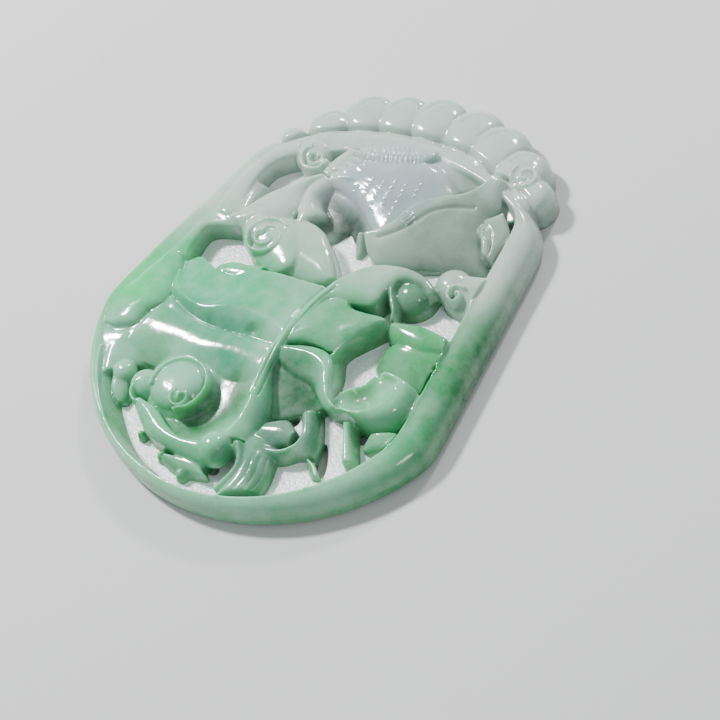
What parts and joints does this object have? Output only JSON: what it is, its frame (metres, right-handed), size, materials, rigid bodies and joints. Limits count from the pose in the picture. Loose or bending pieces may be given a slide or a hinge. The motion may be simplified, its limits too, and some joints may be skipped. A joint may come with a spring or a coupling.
{
  "type": "jade carving",
  "caption": "Pierced pendant plaque carved from one pale green stone, with leaves, scrolls and a stem in deep relief inside a rolled rim, and a cloud crest.",
  "frame": {"origin": "on the flat back, under the middle of the plaque's box", "axes": "+Z out of the carved face, +Y towards the cloud crest, +X to the right as the face is looked at"},
  "size_m": [0.049, 0.0615, 0.0055],
  "materials": {
    "jade": "polished, waxy green and white jade with frosted recessed ground"
  },
  "bodies": {
    "root": {"jade_plaque": "jade"}
  },
  "joints": []
}
